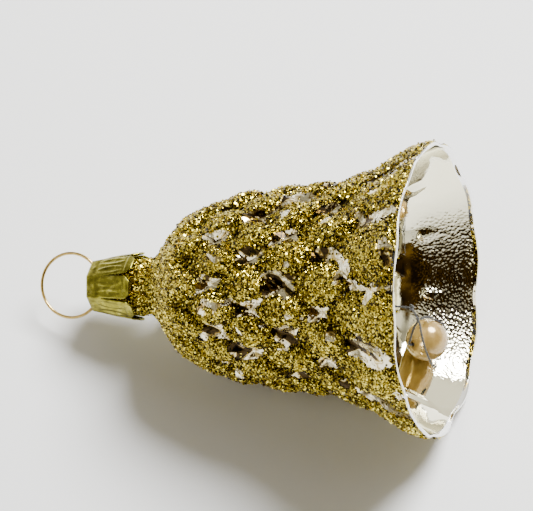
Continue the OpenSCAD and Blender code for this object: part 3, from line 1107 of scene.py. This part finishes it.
mainRoute = [
    (x, y, spanFrom + share * span) for x, y, share in [
        (0, 0, 1), (-0.3, 0, 0.93), (-1.1, 0.1, 0.82), (-2.1, 0.2, 0.67), (-3, 0.3, 0.52),
        (-3.7, 0.3, 0.37), (-4.3, 0.2, 0.22), (-4.8, 0.1, 0.09), (-5, 0, 0.01),
    ]
]
loopRoute = [
    (pearl["drop"] - 5.67, 0, 0), (pearl["drop"] - 6.6, 0, -0.05), (pearl["drop"] - 7.4, 0, -0.1),
    (fork, -0.1, -0.2), (1.6 * bead, -0.33 * bead, 0.17 * bead),
    (1.07 * bead, -0.67 * bead, 0.43 * bead), (0.7 * bead, -0.7 * bead, 0.55 * bead),
    (0.2 * bead, -0.21 * bead, 0.16 * bead), (-0.2 * bead, 0.21 * bead, -0.16 * bead),
    (-0.63 * bead, 0.65 * bead, -0.5 * bead), (-0.23 * bead, 0.73 * bead, -0.73 * bead),
    (0.3 * bead, 0.71 * bead, -0.7 * bead), (0.66 * bead, 0.73 * bead, -0.4 * bead),
    (1.3 * bead, 0.47 * bead, -0.23 * bead), (fork - 0.4, 0.25, -0.4),
]
tailRoute = [
    (pearl["drop"] - 7.3, -0.3, -0.2), (pearl["drop"] - 8.6, -0.8, -0.5),
    (1.63 * bead, -0.67 * bead, -0.27 * bead), (1.2 * bead, -0.9 * bead, -0.3 * bead),
    (0.57 * bead, -1.07 * bead, -0.33 * bead), (0, -1.17 * bead, -0.37 * bead),
    (-0.4 * bead, -1.17 * bead, -0.4 * bead), (-0.63 * bead, -1.1 * bead, -0.43 * bead),
]
stayHalf = [
    (4.22, 0, 3.6), (4.22, 0, 4.8), (3.95, 0, 5.15), (3.5, 0, 5.14),
    (3.15, 0, 4.7), (2.2, 0, 2.4), (1, 0, 0.6), (0, 0, 0),
]


def threadPiece(name, line, node, body, pitch=None):
    parts = twistedPly(line, clapper["thread"], pitch or clapper["pitch"])
    obj = joinSweeps(name, parts)
    obj.data.materials.append(blackThread)
    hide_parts(node)
    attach(obj, body)
    return obj


def atBead(route):
    return [tuple(beadSpot + Vector(p)) for p in route]


def stayRoute():
    turn = math.radians(clapper["stayTurn"])
    half = stayHalf + [(-x, y, z) for x, y, z in reversed(stayHalf[:-1])]
    return [(x * math.cos(turn), x * math.sin(turn), clapper["stayHeight"] + z) for x, y, z in half]


# A tied knot: a thread wound into a small trefoil
def makeKnot(name, centre, node, body):
    path = []
    size = clapper["knot"]
    for k in range(72):
        a = 2 * math.pi * k / 72
        path.append(Vector(centre) + size * 0.24 * Vector((
            math.sin(a) + 2 * math.sin(2 * a),
            math.cos(a) - 2 * math.cos(2 * a),
            -1.4 * math.sin(3 * a),
        )))
    obj = joinSweeps(name, [sweep(path, clapper["thread"] * 0.9, 8, closed=True)])
    obj.data.materials.append(blackThread)
    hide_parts(node)
    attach(obj, body)
    return obj


mainLine = routeLine(mainRoute, 24)
clapperThread = threadPiece("clapperThread", mainLine, "clapper_thread", "thread")
beadLoop = threadPiece("beadLoop", routeLine(atBead(loopRoute), 16), "bead_loop", "bead")
threadTail = threadPiece("threadTail", routeLine(atBead(tailRoute), 16), "thread_tail", "bead")
threadStay = threadPiece("threadStay", routeLine(stayRoute(), 8), "thread_stay", "bell")
lowerKnot = makeKnot("lowerKnot", (-clapper["knotDrop"], 0, clapper["knotInset"]), "lower_knot", "thread")
swivelKnot = makeKnot("swivelKnot", (0, 0, pivot), "swivel_knot", "swivel")


studio = {
    "key": 20.5,
    "fill": 1.2,
    "surroundings": 0.80,
    "floor": (0.90, 0.90, 0.88, 1),
    "floorHalf": 3.0,
    "backdrop": (0.80, 0.80, 0.785, 1),
    "darkSides": [               # ways to the unlit sides of the room, and the cosine of their reach
        ((0.254, -0.699, 0.669), 0.80),
        ((0.896, -0.240, 0.375), 0.86),
        ((-0.340, -0.050, 0.939), 0.89),
    ],
    "darkTones": [
        (0.40, (0.010, 0.006, 0.003)), (0.55, (0.05, 0.025, 0.004)), (0.66, (0.22, 0.12, 0.012)),
    ],
    "brightTones": [(0.38, (0.45, 0.42, 0.33)), (0.52, (1.25, 1.20, 1.02)), (0.65, (1.7, 1.64, 1.45))],
}


def makeFloor():
    mesh = bpy.data.meshes.new("floor")
    half = studio["floorHalf"]
    corners = [(-half, -half, 0), (half, -half, 0), (half, half, 0), (-half, half, 0)]
    mesh.from_pydata(corners, [], [(0, 1, 2, 3)])
    floor = bpy.data.objects.new("floor", mesh)
    bpy.context.scene.collection.objects.link(floor)
    mat, nodes, links, shader = newMaterial("paleFloor")
    shader.inputs["Base Color"].default_value = studio["floor"]
    shader.inputs["Roughness"].default_value = 0.7
    mesh.materials.append(mat)


def makeLight(name, spot, size, power, colour):
    data = bpy.data.lights.new(name, "AREA")
    data.shape = "DISK"
    data.size = size
    data.energy = power
    data.color = colour
    light = bpy.data.objects.new(name, data)
    light.location = spot
    aim = Vector((0, 0, 0.02)) - Vector(spot)
    light.rotation_euler = aim.to_track_quat("-Z", "Y").to_euler()
    bpy.context.scene.collection.objects.link(light)


def makeWorld():
    world = bpy.data.worlds.new("studio")
    bpy.context.scene.world = world
    world.use_nodes = True
    nodes, links = world.node_tree.nodes, world.node_tree.links
    back = nodes["Background"]
    where = nodes.new("ShaderNodeTexCoord")
    blotch = addNode(nodes, "ShaderNodeTexNoise", Scale=2.4, Detail=2.0, Roughness=0.5)
    links.new(where.outputs["Generated"], blotch.inputs["Vector"])
    sides = []
    for way, reach in studio["darkSides"]:
        toward = addNode(nodes, "ShaderNodeVectorMath", operation="DOT_PRODUCT")
        toward.inputs[1].default_value = way
        links.new(where.outputs["Generated"], toward.inputs[0])
        uneven = addNode(nodes, "ShaderNodeMath", operation="MULTIPLY_ADD")
        uneven.inputs[1].default_value = 0.24
        links.new(blotch.outputs["Fac"], uneven.inputs[0])
        links.new(toward.outputs["Value"], uneven.inputs[2])
        edge = addNode(nodes, "ShaderNodeMapRange", From_Min=reach + 0.10, From_Max=reach + 0.14)
        links.new(uneven.outputs[0], edge.inputs["Value"])
        sides.append(edge)
    most = sides[0].outputs["Result"]
    for edge in sides[1:]:
        either = addNode(nodes, "ShaderNodeMath", operation="MAXIMUM")
        links.new(most, either.inputs[0])
        links.new(edge.outputs["Result"], either.inputs[1])
        most = either.outputs[0]
    split = nodes.new("ShaderNodeSeparateXYZ")
    links.new(where.outputs["Generated"], split.inputs[0])
    above = addNode(nodes, "ShaderNodeMapRange", From_Min=0.185, From_Max=0.195)
    links.new(split.outputs["Z"], above.inputs["Value"])
    dark = addNode(nodes, "ShaderNodeMath", operation="MULTIPLY")
    links.new(most, dark.inputs[0])
    links.new(above.outputs["Result"], dark.inputs[1])
    room = ramp(nodes, studio["darkTones"])
    links.new(blotch.outputs["Fac"], room.inputs["Fac"])
    lit = ramp(nodes, studio["brightTones"])
    drift = addNode(nodes, "ShaderNodeTexNoise", Scale=1.3, Detail=1.0)
    links.new(where.outputs["Generated"], drift.inputs["Vector"])
    links.new(drift.outputs["Fac"], lit.inputs["Fac"])
    rise = addNode(nodes, "ShaderNodeMix", data_type="RGBA")
    links.new(lit.outputs["Color"], rise.inputs[6])
    links.new(dark.outputs[0], rise.inputs["Factor"])
    links.new(room.outputs["Color"], rise.inputs[7])
    path = nodes.new("ShaderNodeLightPath")
    mix = addNode(nodes, "ShaderNodeMix", data_type="RGBA")
    links.new(path.outputs["Is Camera Ray"], mix.inputs["Factor"])
    links.new(rise.outputs[2], mix.inputs[6])
    mix.inputs[7].default_value = studio["backdrop"]
    links.new(mix.outputs[2], back.inputs["Color"])
    back.inputs["Strength"].default_value = studio["surroundings"]


makeFloor()
makeLight("keyLight", (0.26, 0.42, 0.62), 0.42, studio["key"], (0.98, 0.99, 1.02))
makeLight("fillLight", (-0.5, -0.4, 0.8), 0.6, studio["fill"], (1.0, 0.99, 0.95))
makeWorld()
print("studio lit")
